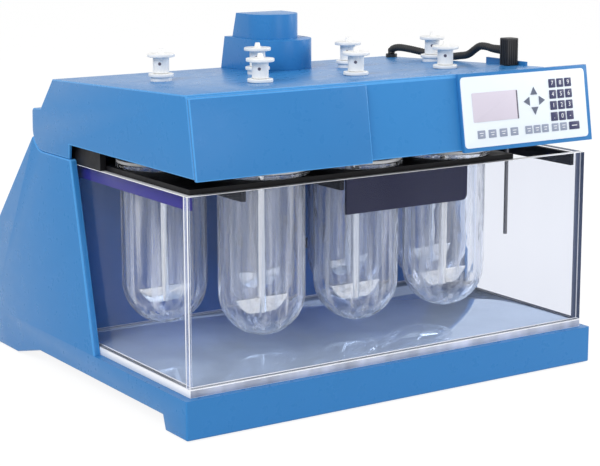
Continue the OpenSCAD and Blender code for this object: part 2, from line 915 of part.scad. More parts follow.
module spindle(i) {
  color("#b9bcc0")
    at_station(i, 0)
      difference() {
        union() {
          translate([0, 0, z_chassis + seat])
            cylinder(r = spindle_r, h = z_spindle_top - z_chassis - seat);
          translate([0, 0, z_pulley])
            pulley(pulley_r);
        }
        translate([0, 0, z_chassis - eps])
          cylinder(r = shaft_d / 2 + run, h = head_h + 20);
      }
}

// A closed belt round the given circles, each [x, y, radius]
module belt(circles, z) {
  translate([0, 0, z])
    linear_extrude(belt_w)
      difference() {
        hull()
          for (c = circles)
            translate([c[0], c[1]])
              circle(r = c[2] + seat + belt_t, $fn = 48);
        hull()
          for (c = circles)
            translate([c[0], c[1]])
              circle(r = c[2] + seat, $fn = 48);
      }
}

module drive_belts() {
  corner_stations = [for (i = [0, 3, 6, 4]) [stations[i][0], stations[i][1], pulley_r]];
  color("#242426") {
    belt(corner_stations, z_pulley + 1 + (groove - belt_w) / 2);
    belt([[motor_x, motor_y, motor_pulley_r], [stations[1][0], stations[1][1], pulley_r]],
         z_pulley + 2 + groove + (groove - belt_w) / 2);
  }
}

module spindle_bearings() {
  color("#a3a7ab")
    at_stations(z_chassis) {
      ring(bearing_r, spindle_r + run, z_pulley - z_chassis - bearing_flange_t / 2);
      translate([0, 0, chassis_t])
        ring(bearing_flange_r, bearing_r - 1, bearing_flange_t);
    }
}

// White flanged bushes in the hood's top
module cap_bushes() {
  color("#f4f4f2")
    for (s = stations)
      translate([s[0], s[1], 0])
        difference() {
          union() {
            translate([0, 0, z_bush])
              cylinder(d = bush_flange_d, h = bush_flange_t);
            translate([0, 0, top_at(s[1]) - hood_t - 1.5])
              cylinder(r = bush_flange_d / 2 - 2.5, h = z_bush + 1 - top_at(s[1]) + hood_t + 1.5);
          }
          translate([0, 0, z_hood])
            cylinder(r = shaft_d / 2 + seat, h = head_h + 20);
        }
}

// Covers that hang over the vessels from the plate above
module vessel_covers() {
  z0 = z_rim + seat;
  color("#e9ebec")
    at_stations(z0)
      difference() {
        union() {
          cylinder(d = rim_d - 2, h = 4);
          cylinder(r = shaft_d / 2 + 6, h = z_chassis - z0);
        }
        translate([0, 0, -eps])
          cylinder(r = shaft_d / 2 + 1.5, h = z_chassis - z0 + 2 * eps);
      }
}

// Shaft with its paddle, blade along X
module stirrer(i) {
  color("#c3c6c9")
    at_station(i, z_paddle) {
      cylinder(d = shaft_d, h = z_cap + cap_bore_h - z_paddle);
      translate([0, paddle_t / 2, 0])
        rotate([90, 0, 0])
          linear_extrude(paddle_t)
            intersection() {
              translate([-paddle_w / 2, 0])
                square([paddle_w, paddle_h]);
              translate([0, paddle_h + sqrt(paddle_r * paddle_r - paddle_w * paddle_w / 4)])
                circle(r = paddle_r);
            }
    }
}

module shaft_cap(i) {
  tip_r = 4;
  color("#f6f6f4")
    at_station(i, z_cap)
      difference() {
        union() {
          cylinder(d = cap_d, h = cap_h);
          translate([0, 0, cap_h])
            cylinder(d = cap_disc_d, h = cap_disc_t);
          translate([0, 0, cap_h + cap_disc_t])
            cylinder(r1 = tip_r, r2 = tip_r - 1, h = cap_tip_h);
        }
        translate([0, 0, -eps])
          cylinder(r = shaft_d / 2 + 0.02, h = cap_bore_h + eps + 0.02);
      }
}

// Temperature probe: a thin rod, a block handle and a corrugated cable
module temperature_probe() {
  color("#55575b")
    translate([probe_x, probe_y, z_probe])
      cylinder(d = probe_d, h = z_handle + 12 - z_probe);
}

z_handle = top_at(probe_y - handle_w / 2) + 0.2;

module probe_handle() {
  w = handle_w;
  color("#1a1a1c")
    difference() {
      translate([probe_x, probe_y, z_handle])
        union() {
          translate([-w / 2, -w / 2, 0])
            cube([w, w, handle_h]);
          translate([0, 0, -hood_t - 2])
            cylinder(r = w / 2 - 2 - run, h = hood_t + 3);
        }
      translate([probe_x, probe_y, z_handle - hood_t - 3])
        cylinder(d = probe_d + 0.04, h = hood_t + 15);
    }
}

module cable_gland() {
  color("#1a1a1c")
    translate([gland_x, gland_y, top_at(gland_y)])
      union() {
        translate([0, 0, -hood_t - 1])
          cylinder(r = cable_d / 2 + 1.5 - run, h = hood_t + 1 + gland_h);
        translate([0, 0, seat])
          cylinder(r = cable_d / 2 + 3, h = gland_h - seat);
      }
}

// Cable swept along its route: one ring of points at each route point
function unit(v) = v / norm(v);
function along(p, i) = unit(i == 0 ? p[1] - p[0] : i == len(p) - 1 ? p[i] - p[i - 1] : p[i + 1] - p[i - 1]);
function side(d) = unit(cross(d, [1, 0.2, 0]));

module probe_cable() {
  n = len(cable_route);
  m = cable_ring;
  pts = [for (i = [0:n - 1], j = [0:m - 1])
         let (d = along(cable_route, i), u = side(d), v = cross(d, u), a = 360 * j / m)
         cable_route[i] + cable_d / 2 * (cos(a) * u + sin(a) * v)];
  sides = [for (i = [0:n - 2], j = [0:m - 1])
           [i * m + j, i * m + (j + 1) % m, (i + 1) * m + (j + 1) % m, (i + 1) * m + j]];
  ends = [[for (j = [m - 1:-1:0]) j], [for (j = [0:m - 1]) (n - 1) * m + j]];
  color("#1a1a1c")
    polyhedron(points = pts, faces = concat(sides, ends));
}

base_plinth();
rubber_feet();
side_cheeks();
column_housing();
rear_panel();
mains_inlet();
power_rocker();
circulation_heater();
tank_floor();
tank_front_wall();
tank_rear_wall();
tank_side_walls();
vessel_plate();
plate_rails();
front_apron();
head_rests();
hinge_brackets();
front_vessels();
rear_left_vessels();
rear_right_vessels();
head_hood();
head_chassis();
front_cover();
console_housing();
keypad_overlay();
display_window();
keypad_keys();
motor_cover();
drive_motor();
motor_pulley();
drive_belts();
spindle_bearings();
cap_bushes();
vessel_covers();
hinge_pins();
temperature_probe();
probe_handle();
cable_gland();
probe_cable();
for (i = [1:7]) {
  spindle(i);
  stirrer(i);
  shaft_cap(i);
}
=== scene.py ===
import json
import math

import bmesh
import bpy
from mathutils import Matrix, Vector

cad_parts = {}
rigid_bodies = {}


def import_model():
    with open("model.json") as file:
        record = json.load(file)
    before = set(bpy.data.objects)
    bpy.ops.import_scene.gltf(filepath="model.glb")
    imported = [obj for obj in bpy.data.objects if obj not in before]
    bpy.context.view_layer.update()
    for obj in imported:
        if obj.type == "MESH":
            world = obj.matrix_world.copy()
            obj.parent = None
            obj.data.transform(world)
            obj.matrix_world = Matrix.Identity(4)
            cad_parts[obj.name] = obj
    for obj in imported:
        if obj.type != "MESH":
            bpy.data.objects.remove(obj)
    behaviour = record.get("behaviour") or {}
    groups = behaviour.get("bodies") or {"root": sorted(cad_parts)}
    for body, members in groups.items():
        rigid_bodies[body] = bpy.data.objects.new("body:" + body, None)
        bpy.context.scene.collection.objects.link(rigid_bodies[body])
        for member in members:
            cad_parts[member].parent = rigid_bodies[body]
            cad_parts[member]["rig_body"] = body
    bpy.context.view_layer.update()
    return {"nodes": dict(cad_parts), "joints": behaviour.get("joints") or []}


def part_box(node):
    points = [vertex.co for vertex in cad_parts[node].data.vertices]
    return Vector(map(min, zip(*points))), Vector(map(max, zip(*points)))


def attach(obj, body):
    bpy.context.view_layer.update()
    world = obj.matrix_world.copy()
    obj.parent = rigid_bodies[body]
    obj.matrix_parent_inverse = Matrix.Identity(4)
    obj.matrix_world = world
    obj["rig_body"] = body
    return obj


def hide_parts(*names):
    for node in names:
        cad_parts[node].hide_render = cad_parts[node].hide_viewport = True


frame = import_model()
nodes = frame["nodes"]
scene = bpy.context.scene
MM = 0.001


def mm(*values):
    """Millimetres as a vector in metres."""
    return Vector(values) * MM


# Camera at the photograph's viewing angle
CAMERA_AT = (-1.2442, -1.9275, 0.6364)
CAMERA_YAW = 0.5790
CAMERA_PITCH = 0.2008
CAMERA_ROLL = 0.0028
CAMERA_LENS = 103.8
SENSOR_W = 36.0
CLIP_NEAR, CLIP_FAR = 0.05, 50.0


def make_camera():
    data = bpy.data.cameras.new("photo_camera")
    data.sensor_fit = "HORIZONTAL"
    data.sensor_width = SENSOR_W
    data.lens = CAMERA_LENS
    data.clip_start = CLIP_NEAR
    data.clip_end = CLIP_FAR
    camera = bpy.data.objects.new("photo_camera", data)
    scene.collection.objects.link(camera)
    camera.location = CAMERA_AT
    turn = Matrix.Rotation(-CAMERA_YAW, 3, "Z") @ Matrix.Rotation(math.pi / 2 - CAMERA_PITCH, 3, "X")
    camera.rotation_euler = (turn @ Matrix.Rotation(-CAMERA_ROLL, 3, "Z")).to_euler()
    scene.camera = camera


make_camera()


# Node helpers
WHITE = (1.0, 1.0, 1.0, 1.0)


def new_material(name):
    """A material and its node tree."""
    material = bpy.data.materials.new(name)
    material.use_nodes = True
    return material, material.node_tree


def set_inputs(node, **values):
    """Sets a node's named inputs; an underscore in a name stands for a space."""
    for key, value in values.items():
        node.inputs[key.replace("_", " ")].default_value = value


def add_node(tree, kind, **values):
    """A new node with its named inputs set."""
    node = tree.nodes.new(kind)
    set_inputs(node, **values)
    return node


def show(tree, shader, output="Material Output"):
    """Makes a shader what the tree gives."""
    tree.links.new(shader.outputs[0], tree.nodes[output].inputs["Surface"])


def math_node(tree, operation, *values):
    """A sum or product of numbers and other nodes' outputs."""
    node = tree.nodes.new("ShaderNodeMath")
    node.operation = operation
    for socket, value in zip(node.inputs, values):
        if isinstance(value, (int, float)):
            socket.default_value = value
        else:
            tree.links.new(value, socket)
    return node.outputs[0]


def mix_colour(tree, factor, dark, light):
    """A colour between two others, which are fixed or come from other nodes."""
    node = tree.nodes.new("ShaderNodeMix")
    node.data_type = "RGBA"
    tree.links.new(factor, node.inputs[0])
    for socket, value in ((node.inputs[6], dark), (node.inputs[7], light)):
        if isinstance(value, tuple):
            socket.default_value = (*value, 1.0)
        else:
            tree.links.new(value, socket)
    return node.outputs[2]


def object_place(tree, stretch=(1.0, 1.0, 1.0)):
    """A point on the piece, in its own coordinates."""
    place = tree.nodes.new("ShaderNodeTexCoord")
    turn = add_node(tree, "ShaderNodeMapping", Scale=stretch)
    tree.links.new(place.outputs["Object"], turn.inputs["Vector"])
    return turn.outputs["Vector"]


def noise(tree, place, size, detail=3.0):
    """Cloudy values from 0 to 1; a larger size number makes smaller clouds."""
    node = add_node(tree, "ShaderNodeTexNoise", Scale=size, Detail=detail, Roughness=0.55)
    tree.links.new(place, node.inputs["Vector"])
    return node.outputs[0]


def spread_of(tree, value, low, high, start=0.3, end=0.7):
    """Stretches a value's range from start and end to low and high."""
    node = add_node(tree, "ShaderNodeMapRange", From_Min=start, From_Max=end, To_Min=low, To_Max=high)
    tree.links.new(value, node.inputs["Value"])
    return node.outputs["Result"]


def mix_shader(tree, share, first, second):
    """The first surface, with a share of the second over it."""
    node = tree.nodes.new("ShaderNodeMixShader")
    for socket, output in zip(node.inputs, (share, first.outputs[0], second.outputs[0])):
        tree.links.new(output, socket)
    return node


GRAIN_DEPTH = 0.2 * MM


def finish_of(name, colour, rough, spread=0.05, patch=9.0, grain=0.12, grain_size=900.0,
              stretch=(1.0, 1.0, 1.0), **shader):
    """A finish with cloudy colour, uneven gloss and a fine grain."""
    material, tree = new_material(name)
    surface = tree.nodes["Principled BSDF"]
    place = object_place(tree, stretch)
    cloud = noise(tree, place, patch)
    dark = tuple(c * (1 - spread) for c in colour)
    light = tuple(min(1.0, c * (1 + spread)) for c in colour)
    tree.links.new(mix_colour(tree, cloud, dark, light), surface.inputs["Base Color"])
    wipe = noise(tree, place, patch * 7)
    tree.links.new(spread_of(tree, wipe, rough * 0.85, rough * 1.15), surface.inputs["Roughness"])
    bump = add_node(tree, "ShaderNodeBump", Strength=grain, Distance=GRAIN_DEPTH)
    tree.links.new(noise(tree, place, grain_size, 2.0), bump.inputs["Height"])
    tree.links.new(bump.outputs[0], surface.inputs["Normal"])
    set_inputs(surface, **shader)
    return material


def facing_share(tree, straight, grazing):
    """A share that is small straight on and large at a grazing look, as gloss is."""
    weight = add_node(tree, "ShaderNodeLayerWeight", Blend=0.5)
    steep = math_node(tree, "POWER", weight.outputs["Facing"], 5.0)
    return math_node(tree, "MULTIPLY_ADD", steep, grazing - straight, straight)


def clear_sheet(name, tint, haze, straight=0.003, grazing=0.35, film_colour=(0.62, 0.68, 0.90),
                gloss=(0.01, 0.03), uneven=0.4):
    """Clear acrylic: what is behind it shows, with a mirror over it and a diffuse film, which is a faint haze
    of wipe marks on most sheets and a tinted film of painted light and shade on the rear sheet, the floor and
    the floor's front edge.
    """
    material, tree = new_material(name)
    tree.nodes.remove(tree.nodes["Principled BSDF"])
    place = object_place(tree, (1.0, 1.0, 0.25))
    through = add_node(tree, "ShaderNodeBsdfTransparent", Color=(*tint, 1.0))
    mirror = add_node(tree, "ShaderNodeBsdfGlossy", Color=(0.72, 0.83, 1.0, 1.0))
    wipe = noise(tree, place, 22.0)
    tree.links.new(spread_of(tree, wipe, *gloss), mirror.inputs["Roughness"])
    film = add_node(tree, "ShaderNodeBsdfDiffuse", Color=(*film_colour, 1.0))
    hazy = mix_shader(tree, spread_of(tree, wipe, haze * (1 - uneven), haze * (1 + uneven)), through, film)
    shiny = mix_shader(tree, facing_share(tree, straight, grazing), hazy, mirror)
    show(tree, shiny)
    return material


def blown_glass(name):
    """Clear vessel glass with a faint waviness, and upright white streaks and whitish rims that paint
    reflections; lamps shine through it.
    """
    material, tree = new_material(name)
    surface = tree.nodes["Principled BSDF"]
    set_inputs(surface, IOR=1.47)
    place = object_place(tree, (1.0, 1.0, 0.04))
    tint = spread_of(tree, noise(tree, place, 75.0, 2.0), 0.0, 1.0, 0.38, 0.62)
    colour = mix_colour(tree, tint, (0.84, 0.89, 0.98), (0.985, 0.99, 1.0))
    tree.links.new(colour, surface.inputs["Base Color"])
    # Painted reflections: the glass turns partly diffuse white in upright streaks and towards its rims.
    painted_streak = spread_of(tree, noise(tree, place, 120.0, 2.0), 0.0, 0.30, 0.46, 0.66)
    white = math_node(tree, "ADD", facing_share(tree, 0.0, 0.35), painted_streak)
    tree.links.new(math_node(tree, "SUBTRACT", 1.0, white), surface.inputs["Transmission Weight"])
    tree.links.new(spread_of(tree, noise(tree, place, 30.0), 0.0, 0.02), surface.inputs["Roughness"])
    swirl = noise(tree, object_place(tree), 45.0, 1.0)
    wave = math_node(tree, "MULTIPLY_ADD", swirl, 1.2, noise(tree, place, 60.0, 1.0))
    bump = add_node(tree, "ShaderNodeBump", Strength=0.42, Distance=1.4 * MM)
    tree.links.new(wave, bump.inputs["Height"])
    tree.links.new(bump.outputs[0], surface.inputs["Normal"])
    path = tree.nodes.new("ShaderNodeLightPath")
    through = add_node(tree, "ShaderNodeBsdfTransparent", Color=(0.93, 0.94, 0.96, 1.0))
    show(tree, mix_shader(tree, path.outputs["Is Shadow Ray"], surface, through))
    return material


def screen_face(name):
    """Pale display: a fine grid of dots, 0.9 mm apart, under a smooth film."""
    material = finish_of(name, (0.61, 0.57, 0.67), 0.5, spread=0.03, patch=20.0, grain=0.02,
                         Specular_IOR_Level=0.3)
    tree = material.node_tree
    surface = tree.nodes["Principled BSDF"]
    base = surface.inputs["Base Color"].links[0].from_socket
    grid = add_node(tree, "ShaderNodeTexBrick", Scale=1000.0, Mortar_Size=0.06, Brick_Width=0.9,
                    Row_Height=0.9)
    grid.offset = 0.0
    place = tree.nodes.new("ShaderNodeTexCoord")
    turn = add_node(tree, "ShaderNodeMapping", Rotation=(math.pi / 2, 0.0, 0.0))
    tree.links.new(place.outputs["Object"], turn.inputs["Vector"])
    tree.links.new(turn.outputs[0], grid.inputs["Vector"])
    faint = math_node(tree, "MULTIPLY", grid.outputs["Fac"], 0.25)
    tree.links.new(mix_colour(tree, faint, base, (0.60, 0.52, 0.60)), surface.inputs["Base Color"])
    return material


# Finishes: colour, then roughness
PAINT = {"spread": 0.03, "grain": 0.02, "grain_size": 150.0, "Specular_IOR_Level": 0.20}
blue_paint = finish_of("blue_paint", (0.034, 0.211, 0.515), 0.30, **PAINT)
# Darker copy of the blue paint for faces that look forward: painted shade.
shaded_blue_front = finish_of("blue_paint_painted_shade", (0.032, 0.190, 0.470), 0.30, **PAINT)
# Lighter copy of the blue paint for rounded edges: painted highlight.
highlight_blue_edge = finish_of("blue_edge_painted_highlight", (0.075, 0.315, 0.680), 0.28, **PAINT)
black_paint = finish_of("black_paint", (0.008, 0.008, 0.010), 0.5, spread=0.2, grain=0.10,
                        Specular_IOR_Level=0.2)
navy_plastic = finish_of("navy_plastic", (0.024, 0.018, 0.260), 0.36, spread=0.12, grain=0.06,
                         Specular_IOR_Level=0.3)
navy_apron = finish_of("navy_apron_plastic", (0.012, 0.012, 0.042), 0.46, spread=0.12, grain=0.08,
                       Specular_IOR_Level=0.2)
white_plastic = finish_of("white_plastic", (0.86, 0.86, 0.85), 0.33, spread=0.025, grain=0.05,
                          grain_size=500.0, Subsurface_Weight=0.08, Subsurface_Radius=(0.004, 0.004, 0.004))
cover_plastic = finish_of("cover_plastic", (0.74, 0.75, 0.77), 0.28, spread=0.03, grain=0.05)
film_white = finish_of("keypad_film", (0.75, 0.82, 0.89), 0.40, spread=0.02, grain=0.10, grain_size=1600.0)
key_grey = finish_of("key_grey", (0.24, 0.28, 0.38), 0.40, spread=0.06, grain=0.08)
arrow_grey = finish_of("arrow_grey", (0.10, 0.12, 0.18), 0.42, spread=0.06, grain=0.08)
key_navy = finish_of("key_navy", (0.022, 0.026, 0.095), 0.40, spread=0.08, grain=0.08)
print_white = finish_of("print_white", (0.78, 0.80, 0.85), 0.50, spread=0.03, grain=0.05)
screen = screen_face("display_film")
screen_edge = finish_of("display_edge", (0.09, 0.08, 0.12), 0.35, spread=0.1)
steel = finish_of("brushed_steel", (0.60, 0.585, 0.55), 0.24, spread=0.06, patch=30.0, grain=0.10,
                  grain_size=300.0, stretch=(6.0, 6.0, 0.3), Metallic=1.0)
rod_steel = finish_of("turned_rod_steel", (0.88, 0.86, 0.81), 0.10, spread=0.04, patch=30.0, grain=0.06,
                      grain_size=300.0, stretch=(6.0, 6.0, 0.3), Metallic=1.0)
dull_metal = finish_of("turned_aluminium", (0.58, 0.59, 0.60), 0.34, spread=0.05, grain=0.10,
                       grain_size=500.0, stretch=(0.4, 0.4, 6.0), Metallic=1.0)
bracket_metal = finish_of("bracket_steel", (0.42, 0.43, 0.45), 0.42, spread=0.06, Metallic=0.9)
probe_metal = finish_of("probe_rod", (0.16, 0.16, 0.17), 0.34, spread=0.08, patch=40.0,
                        stretch=(4.0, 4.0, 0.4), Metallic=0.8)
black_rubber = finish_of("black_rubber", (0.016, 0.016, 0.017), 0.62, spread=0.15, grain=0.25,
                         grain_size=1200.0)
black_plastic = finish_of("black_plastic", (0.014, 0.014, 0.016), 0.38, spread=0.15, grain=0.15,
                          grain_size=1400.0)
grey_panel = finish_of("grey_panel_coat", (0.052, 0.056, 0.064), 0.48, spread=0.08, grain=0.30,
                       grain_size=1800.0)
motor_grey = finish_of("motor_grey", (0.075, 0.080, 0.088), 0.45, spread=0.06)

# Acrylic: tint, then haze; on the rear sheet, the floor and the floor's front edge the haze is a tinted film
# of painted light and shade
acrylic = clear_sheet("acrylic_sheet", (0.950, 0.957, 0.978), 0.012)
# Rear sheet: a blue film that paints in the blue of the shaded column seen through it.
acrylic_rear = clear_sheet("acrylic_rear_sheet_painted_shade", (0.93, 0.95, 1.0), 0.16, film_colour=(0.16, 0.33, 0.95))
# Floor: a thick milky bluish film, painted light that stands in for the brightness the clear floor mirrors.
acrylic_floor = clear_sheet("acrylic_floor", (0.92, 0.95, 1.00), 0.80, straight=0.30, grazing=1.0,
                            film_colour=(0.68, 0.81, 1.0), gloss=(0.004, 0.016), uneven=0.06)
# Floor's front edge: a thick lavender film, a painted glow of light in the sheet's cut edge.
floor_edge_glow_film = clear_sheet("acrylic_floor_edge_painted_glow", (0.90, 0.92, 0.99), 0.62, straight=0.06,
                            film_colour=(0.74, 0.78, 0.94))
# Opaque white for the sheets' free edges: a painted glow of light carried through the clear sheet.
acrylic_edge_painted_glow = finish_of("acrylic_edge_painted_glow", (0.93, 0.94, 0.97), 0.18, spread=0.03, patch=60.0, grain=0.05)
acrylic_end = clear_sheet("acrylic_end", (0.88, 0.90, 0.98), 0.16, straight=0.08,
                          film_colour=(0.66, 0.70, 0.88))
# Dark grey-blue for the right-hand ends, top and edges of the sheets: painted shade.
acrylic_shade = finish_of("acrylic_shaded_edge", (0.10, 0.125, 0.20), 0.15, spread=0.25, patch=24.0,
                          stretch=(1.0, 1.0, 0.15), grain=0.05)
glass = blown_glass("vessel_glass")


# Mesh helpers
WELD = 1e-6
SEAM = 5 * WELD
ON_END = 20 * WELD
LONG_EDGE = 120 * MM
FACES_ALONG = 0.9
FLAT_ANGLE = 0.6


def body_of(node):
    """The body that a CAD node rides on."""
    return nodes[node]["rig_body"]


def as_piece(name, bm, materials, body, replaced=(), smooth=32.0):
    """Turns a finished bmesh into a piece that rides on a body."""
    mesh = bpy.data.meshes.new(name)
    bm.to_mesh(mesh)
    bm.free()
    for material in materials:
        mesh.materials.append(material)
    mesh.shade_smooth()
    mesh.set_sharp_from_angle(angle=math.radians(smooth))
    piece = bpy.data.objects.new(name, mesh)
    scene.collection.objects.link(piece)
    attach(piece, body)
    if replaced:
        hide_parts(*replaced)
    return piece


def copy_of(node):
    """A welded copy of a CAD node's mesh with its flat faces joined."""
    bm = bmesh.new()
    bm.from_mesh(nodes[node].data)
    bmesh.ops.remove_doubles(bm, verts=bm.verts, dist=WELD)
    bmesh.ops.dissolve_limit(bm, angle_limit=math.radians(FLAT_ANGLE), verts=bm.verts, edges=bm.edges)
    return bm


def paint(faces, material):
    """Gives faces the material of that number in the piece's list."""
    for face in faces:
        face.material_index = material


def faces_of(made):
    """The faces of what an operator has just added."""
    return {f for v in made["verts"] for f in v.link_faces}


def round_edges(bm, width, where=None, steps=3, sharp=28.0):
    """Rounds the sharp edges and returns the faces that this makes."""
    edges = [e for e in bm.edges
             if len(e.link_faces) == 2 and e.calc_face_angle(0.0) > math.radians(sharp)
             and (where is None or where(e))]
    made = bmesh.ops.bevel(bm, geom=edges, offset=width, offset_type="OFFSET", segments=steps, profile=0.5,
                           affect="EDGES", clamp_overlap=True, loop_slide=True, material=-1)
    return made["faces"]


def outline_of(node):
    """Picks the edges on a node's two ends and its long edges from side to side."""
    low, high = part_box(node)

    def pick(edge):
        a, b = (v.co for v in edge.verts)
        on_end = any(abs(a.x - x) < ON_END and abs(b.x - x) < ON_END for x in (low.x, high.x))
        return edge.is_convex and (on_end or abs(a.x - b.x) > LONG_EDGE)

    return pick


def softened(name, node, material, width, where=None, sharp=28.0, edge=None):
    """A node's own shape with rounded edges, which may get a lighter colour of their own as a painted
    highlight.
    """
    bm = copy_of(node)
    paint(round_edges(bm, width, where, sharp=sharp), 1 if edge else 0)
    as_piece(name, bm, [material, edge] if edge else [material], body_of(node), [node])


def turned(bm, profile, at, steps):
    """Adds a round piece, spun from its (radius, height) profile about an upright axis."""
    verts = [bm.verts.new((at[0] + r, at[1], at[2] + z)) for r, z in profile]
    edges = [bm.edges.new(pair) for pair in zip(verts, verts[1:])]
    bmesh.ops.spin(bm, geom=verts + edges, cent=at, axis=(0, 0, 1), angle=2 * math.pi, steps=steps,
                   use_merge=True)


def closed(bm):
    """Joins the seams of turned pieces and turns their faces outward."""
    bmesh.ops.remove_doubles(bm, verts=bm.verts, dist=SEAM)
    bmesh.ops.recalc_face_normals(bm, faces=bm.faces)
    return bm


def arc_points(centre_r, centre_z, radius, start, end, count):
    """Points of an arc in a profile, angles in degrees from the radius direction."""
    return [(centre_r + radius * math.cos(math.radians(start + (end - start) * i / count)),
             centre_z + radius * math.sin(math.radians(start + (end - start) * i / count)))
            for i in range(count + 1)]


def block(bm, low, high, material=0):
    """Adds a box between two corners and returns its faces."""
    low, high = Vector(low), Vector(high)
    place = Matrix.Translation((low + high) / 2) @ Matrix.Diagonal((*(high - low), 1.0))
    made = bmesh.ops.create_cube(bm, size=1.0, matrix=place)
    paint(faces_of(made), material)
    return faces_of(made)


PLATE_LIP = 0.2 * MM


def plate(bm, width, height, thick, corner, place, material=0):
    """Adds a thin plate with rounded corners, its middle at the place and its face along local -Y."""
    made = bmesh.ops.create_cube(bm, size=1.0, matrix=Matrix.Diagonal((width, thick, height, 1.0)))
    sides = [e for e in {e for v in made["verts"] for e in v.link_edges}
             if abs(e.verts[0].co.y - e.verts[1].co.y) > thick / 2]
    rounded = bmesh.ops.bevel(bm, geom=sides, offset=corner, offset_type="OFFSET", segments=4, profile=0.5,
                              affect="EDGES", clamp_overlap=True, material=-1)
    bm.normal_update()
    faces = set(rounded["faces"]) | faces_of(rounded)
    front = {e for f in faces if f.normal.y < -FACES_ALONG for e in f.edges}
    eased = bmesh.ops.bevel(bm, geom=list(front), offset=PLATE_LIP, offset_type="OFFSET", segments=2,
                            profile=0.5, affect="EDGES", clamp_overlap=True, material=-1)
    verts = {v for f in faces | set(eased["faces"]) if f.is_valid for v in f.verts}
    paint({f for v in verts for f in v.link_faces}, material)
    bmesh.ops.transform(bm, matrix=place, verts=list(verts))


# Stations, on the axes of the spindles: 1 to 4 in the rear row, 5 to 7 in the front row
AXES = {joint["child"]: joint["pos_m"] for joint in frame["joints"] if joint["type"] == "hinge"}
STATIONS = {k: Vector((*AXES[f"spindle_{k}"][:2], 0.0)) for k in range(1, 8)}

# Painted housings
BASE_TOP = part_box("base_plinth")[1].z


def above_seam(edge):
    """True for a cheek's edges that don't lie on the base."""
    return max(v.co.z for v in edge.verts) > BASE_TOP + MM


def base_casting():
    """Base with its sides flush under the cheeks, so that no groove shows between them."""
    bm = copy_of("base_plinth")
    low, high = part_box("base_plinth")
    pick = outline_of("base_plinth")
    # Side faces keep the lighter blue; all other faces get the darker copy as painted shade.
    paint([f for f in bm.faces if abs(f.normal.x) > FACES_ALONG], 1)

    def kept(edge):
        return not all(v.co.z > BASE_TOP - MM and min(v.co.x - low.x, high.x - v.co.x) < MM
                       for v in edge.verts)

    round_edges(bm, 2.2 * MM, lambda e: pick(e) and kept(e))
    as_piece("base_casting", bm, [shaded_blue_front, blue_paint], "base", ["base_plinth"])


base_casting()
# Name, CAD node, finish, rounding, edges to round
# Rounded edges of the cheeks, hood and front cover get the lighter blue: painted highlight.
softened("column_cheeks", "side_cheeks", blue_paint, 3.0 * MM, above_seam, edge=highlight_blue_edge)
softened("column_shell", "column_housing", blue_paint, 0.8 * MM, outline_of("column_housing"))
softened("hood_shell", "head_hood", blue_paint, 1.8 * MM, outline_of("head_hood"), sharp=18.0, edge=highlight_blue_edge)
# The front cover and the console frame get the darker copy of the blue: painted shade.
softened("front_cover_panel", "front_cover", shaded_blue_front, 1.4 * MM, edge=highlight_blue_edge)
softened("console_frame", "console_housing", shaded_blue_front, 1.8 * MM)
softened("motor_hood", "motor_cover", blue_paint, 1.6 * MM, lambda e: e.is_convex)


# Clear bath
SHEET, EDGE, END, SHADE = range(4)
SHEET_T = 8 * MM
POLISH = 0.8 * MM
X_AXIS, Y_AXIS, Z_AXIS = range(3)


def acrylic_box(bm, low, high, flat_axis, front_end=END):
    """A polished sheet: clear on its broad faces, painted white on its free edges as a glow, clear or painted
    dark on its ends as shade.
    """
    for face in block(bm, low, high):
        if abs(face.normal[flat_axis]) > FACES_ALONG:
            face.material_index = SHEET
        elif face.normal.y < -FACES_ALONG:
            face.material_index = front_end
        # Right ends of the front and rear sheets get painted shade; their left ends stay clear.
        elif flat_axis == Y_AXIS and abs(face.normal.x) > FACES_ALONG:
            face.material_index = SHADE if face.normal.x > 0 else END
        else:
            face.material_index = EDGE


def polish(bm):
    """Eases the edges of a sheet and paints the eased edges white as a glow."""
    paint(round_edges(bm, POLISH, steps=2), EDGE)


def bath_sheet(name, node, flat_axis, sheet=acrylic, end=acrylic_end):
    """One wall or the floor of the bath, as a polished sheet."""
    bm = bmesh.new()
    acrylic_box(bm, *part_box(node), flat_axis)
    polish(bm)
    as_piece(name, bm, [sheet, acrylic_edge_painted_glow, end, acrylic_shade], body_of(node), [node])


bath_sheet("bath_front_sheet", "tank_front_wall", Y_AXIS)
bath_sheet("bath_rear_sheet", "tank_rear_wall", Y_AXIS, acrylic_rear)
bath_sheet("bath_floor_sheet", "tank_floor", Z_AXIS, acrylic_floor, floor_edge_glow_film)


def bath_sides():
    """Left sheet with edges painted white as a glow, right sheet with ends, top and edges painted dark as
    shade.
    """
    low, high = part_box("tank_side_walls")
    bm = bmesh.new()
    acrylic_box(bm, low, (low.x + SHEET_T, high.y, high.z), X_AXIS)
    polish(bm)
    acrylic_box(bm, (high.x - SHEET_T, low.y, low.z), high, X_AXIS, SHADE)
    # The right sheet's top and its eased edges are painted dark: painted shade.
    paint([f for f in bm.faces if f.normal.z > FACES_ALONG and f.calc_center_median().x > 0], SHADE)
    paint(round_edges(bm, POLISH, lambda e: e.verts[0].co.x > 0, steps=2), SHADE)
    as_piece("bath_side_sheets", bm, [acrylic, acrylic_edge_painted_glow, acrylic_end, acrylic_shade], "base",
             ["tank_side_walls"])


def rail_strips():
    """Dark rails under the plate: violet, with the right half painted black as shade."""
    bm = copy_of("plate_rails")
    # Right half black: painted shade.
    paint([f for f in bm.faces if f.calc_center_median().x > 0], 1)
    round_edges(bm, 0.6 * MM, steps=2)
    as_piece("rail_strips", bm, [navy_plastic, black_paint], body_of("plate_rails"), ["plate_rails"])


rail_strips()
bath_sides()

# Glass vessels
VESSEL_OUT, VESSEL_IN, RIM_R = 53.5 * MM, 51.0 * MM, 59.0 * MM
BALL_Z, SEAT_Z, RIM_Z = 146 * MM, 293 * MM, 298 * MM
VESSEL_SIDES = 72


